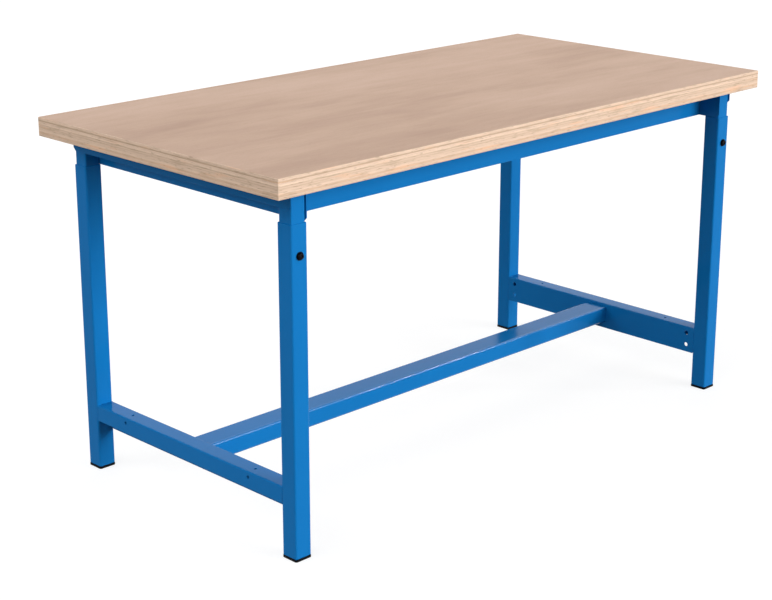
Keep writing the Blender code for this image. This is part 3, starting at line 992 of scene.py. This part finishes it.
def clamp_nut_mesh(width, depth, thickness):
    """A flat square nut."""
    mesh = eased_block(along_z, width, depth, NUT_CORNER, -thickness / 2, thickness / 2)
    return cut(mesh, drills([((0, 0, 0), Z_AXIS, PLATE_BORE, 2 * thickness)]))


def hex_bolt_mesh(length):
    """A hexagon bolt: the corners of its head are cut by a cone, and it bears on a low round face."""
    loops = turned(
        [
            (THREAD_SIZE - 2 * THREAD_DEPTH, -length),
            (THREAD_SIZE, THREAD_DEPTH - length),
            (THREAD_SIZE, 0.0),
            (BOLT_FACE, 0.0),
            (BOLT_FACE, BOLT_FACE_HEIGHT),
        ]
    )
    head = hexagon(BOLT_ACROSS_FLATS)
    crown = BOLT_ACROSS_FLATS / 2 - EASE
    slope = math.tan(BOLT_CHAMFER)
    loops.append(along_z(head, BOLT_FACE_HEIGHT))
    loops.append([Vector((*point, BOLT_HEAD_HEIGHT - slope * (point.length - crown))) for point in head])
    loops += turned([(2 * crown, BOLT_HEAD_HEIGHT)])
    return loft(loops)


def wood_screw_mesh(length):
    """A pan-head wood screw with a cross recess."""
    loops = turned(
        [
            (WOOD_SCREW_POINT, -length),
            (WOOD_SCREW_SIZE, WOOD_SCREW_TIP - length),
            (WOOD_SCREW_SIZE, 0.0),
            (WOOD_SCREW_HEAD - 2 * EASE, 0.0),
            (WOOD_SCREW_HEAD, EASE),
        ]
    )
    loops += domed(WOOD_SCREW_HEAD, WOOD_SCREW_CROWN, WOOD_SCREW_SHOULDER, WOOD_SCREW_HEAD_HEIGHT)
    for arm, depth in ((RECESS_ARM, 0.0), (RECESS_FLOOR_ARM, RECESS_DEPTH)):
        loops.append(along_z(cross(arm, RECESS_HALF_WIDTH), WOOD_SCREW_HEAD_HEIGHT - depth))
    return loft(loops)


def length_along(node, axis):
    return abs(measure(node).size.dot(Vector(axis)))


def seated(node, axis, head_height):
    """Places a fastener where its node is, its head at the end that the axis points to."""
    seat = length_along(node, axis) / 2 - head_height
    return pointing(measure(node).middle + seat * Vector(axis), axis)


def build_locks(black, zinc):
    """Lock screw, washer and clamp nut of each leg, on one axis that points out of the bench."""
    for corner, outward in CORNERS.items():
        axis = (0, outward, 0)
        node = f"lock_screw_{corner}"
        mesh = lock_screw_mesh(length_along(node, axis) - LOCK_HEAD_HEIGHT)
        piece(node, mesh, [black], seated(node, axis, LOCK_HEAD_HEIGHT))
        node = f"lock_washer_{corner}"
        washer = measure(node)
        mesh = washer_mesh(washer.size.x, washer.size.y)
        piece(node, mesh, [black], pointing(washer.middle, axis))
        node = f"clamp_nut_{corner}"
        nut = measure(node)
        mesh = clamp_nut_mesh(nut.size.x, nut.size.z, nut.size.y)
        piece(node, mesh, [zinc], pointing(nut.middle, axis))


def build_bolts(black):
    """Frame bolts, all of one mesh, with their heads towards the sides of the bench."""
    nodes = nodes_named("long_rail_bolt_") + nodes_named("stretcher_bolt_")
    mesh = hex_bolt_mesh(length_along(nodes[0], X_AXIS) - BOLT_HEAD_HEIGHT)
    for node in nodes:
        axis = (math.copysign(1, measure(node).middle.x), 0, 0)
        piece(node, mesh, [black], seated(node, axis, BOLT_HEAD_HEIGHT))


def build_worktop_screws(zinc):
    """Wood screws, all of one mesh, with their heads down."""
    nodes = nodes_named("worktop_screw_")
    mesh = wood_screw_mesh(length_along(nodes[0], DOWN) - WOOD_SCREW_HEAD_HEIGHT)
    for node in nodes:
        piece(node, mesh, [zinc], seated(node, DOWN, WOOD_SCREW_HEAD_HEIGHT))


# Stage: floor, light and camera

WHITE = grey(1.0)
BACKGROUND_LEVEL = 1.0
FLOOR_SIZE = 60.0
FLOOR_GLOW = 0.80
FLOOR_TINT = grey(0.28)
FLOOR_BOUNCE = grey(0.18)
SKY_LEVEL = 0.24

# Each distant lamp: turn from the front towards the right, height and breadth in degrees, strength
LAMPS = {
    "front_light": (18, 7, 38, 3.70),
    "front_fill": (20, 22, 70, 0.30),
    "left_light": (-90, 50, 40, 0.41),
    "low_left_light": (-90, 12, 40, 0.63),
    "rear_left_light": (-125, 35, 35, 0.70),
    "rear_right_light": (135, 22, 50, 0.60),
    "rear_light": (180, 7, 40, 1.20),
    "front_left_fill": (-60, 33, 30, 0.45),
    "edge_light": (46, 20, 4, 0.45),
}
LAMP_DISTANCE = 6.0


def seen_ray(tree):
    """1 for rays that see the background: from the camera, or reflected or passed on by a surface."""
    rays = add(tree, "ShaderNodeLightPath", {}).outputs
    seen = math_node(tree, "MAXIMUM", rays["Is Camera Ray"], rays["Is Glossy Ray"])
    return math_node(tree, "MAXIMUM", seen, rays["Is Transmission Ray"])


def seen_or_not(tree, seen, unseen):
    """One shader for the rays that see the background, and another for all others."""
    inputs = {0: seen_ray(tree), 1: unseen.outputs[0], 2: seen.outputs[0]}
    return add(tree, "ShaderNodeMixShader", inputs).outputs[0]


def build_floor():
    """A white floor that keeps the shadow: part of its white is its own glow, the rest is lit."""
    mesh = bpy.data.meshes.new("floor")
    half = FLOOR_SIZE / 2
    corners = [(x * half, y * half, 0) for x, y in ((-1, -1), (1, -1), (1, 1), (-1, 1))]
    mesh.from_pydata(corners, [], [(0, 1, 2, 3)])
    floor = bpy.data.objects.new("floor", mesh)
    bpy.context.scene.collection.objects.link(floor)
    finish, tree, shader = new_finish("floor_finish")
    tree.nodes.remove(shader)
    glow = add(tree, "ShaderNodeEmission", {"Color": WHITE, "Strength": FLOOR_GLOW})
    lit = add(tree, "ShaderNodeBsdfDiffuse", {"Color": FLOOR_TINT})
    bounce = add(tree, "ShaderNodeBsdfDiffuse", {"Color": FLOOR_BOUNCE})
    white = add(tree, "ShaderNodeAddShader", {0: glow.outputs[0], 1: lit.outputs[0]})
    connect(tree, tree.nodes["Material Output"], {"Surface": seen_or_not(tree, white, bounce)})
    mesh.materials.append(finish)


def build_sky():
    """A world that is white to look at and lights the object softly."""
    world = bpy.data.worlds.new("studio")
    world.use_nodes = True
    bpy.context.scene.world = world
    tree = world.node_tree
    tree.nodes.clear()
    fill = add(tree, "ShaderNodeBackground", {"Color": WHITE, "Strength": SKY_LEVEL})
    white = add(tree, "ShaderNodeBackground", {"Color": WHITE, "Strength": BACKGROUND_LEVEL})
    add(tree, "ShaderNodeOutputWorld", {"Surface": seen_or_not(tree, white, fill)})


def aimed(place, aim):
    """Rotation of a camera or lamp at a place, looking at a point."""
    return (Vector(aim) - Vector(place)).to_track_quat("-Z", "Y").to_euler()


def build_lamps():
    """Distant lamps all round the bench, aimed at the floor under its middle."""
    for name, (turn, height, breadth, strength) in LAMPS.items():
        data = bpy.data.lights.new(name, "SUN")
        data.energy = strength
        data.angle = math.radians(breadth)
        lamp = bpy.data.objects.new(name, data)
        around = Matrix.Rotation(math.radians(turn), 3, "Z")
        upward = Matrix.Rotation(math.radians(-height), 3, "X")
        lamp.location = around @ upward @ Vector((0, -LAMP_DISTANCE, 0))
        lamp.rotation_euler = aimed(lamp.location, (0, 0, 0))
        bpy.context.scene.collection.objects.link(lamp)


def build_camera():
    """The camera at the photograph's viewing angle."""
    data = bpy.data.cameras.new("camera")
    data.lens = CAMERA_LENS
    data.shift_y = CAMERA_SHIFT_Y
    camera = bpy.data.objects.new("camera", data)
    camera.location = CAMERA_PLACE
    camera.rotation_euler = aimed(CAMERA_PLACE, CAMERA_AIM)
    bpy.context.scene.collection.objects.link(camera)
    bpy.context.scene.camera = camera


def main():
    blue = powder_coat("blue_powder_coat_finish", PAINT_GLOSS)
    glossy_blue = powder_coat("blue_corner_finish", CORNER_GLOSS)
    black = black_oxide()
    zinc = zinc_plate()
    build_worktop(beech_face(), beech_edge())
    build_legs(blue)
    build_side_rails(blue)
    build_long_rails(blue)
    build_stretcher(blue, glossy_blue)
    build_welds(blue)
    build_foot_caps(moulded_plastic())
    build_locks(black, zinc)
    build_bolts(black)
    build_worktop_screws(zinc)
    build_floor()
    build_sky()
    build_lamps()
    build_camera()
    bpy.context.scene.view_settings.view_transform = "Standard"


main()
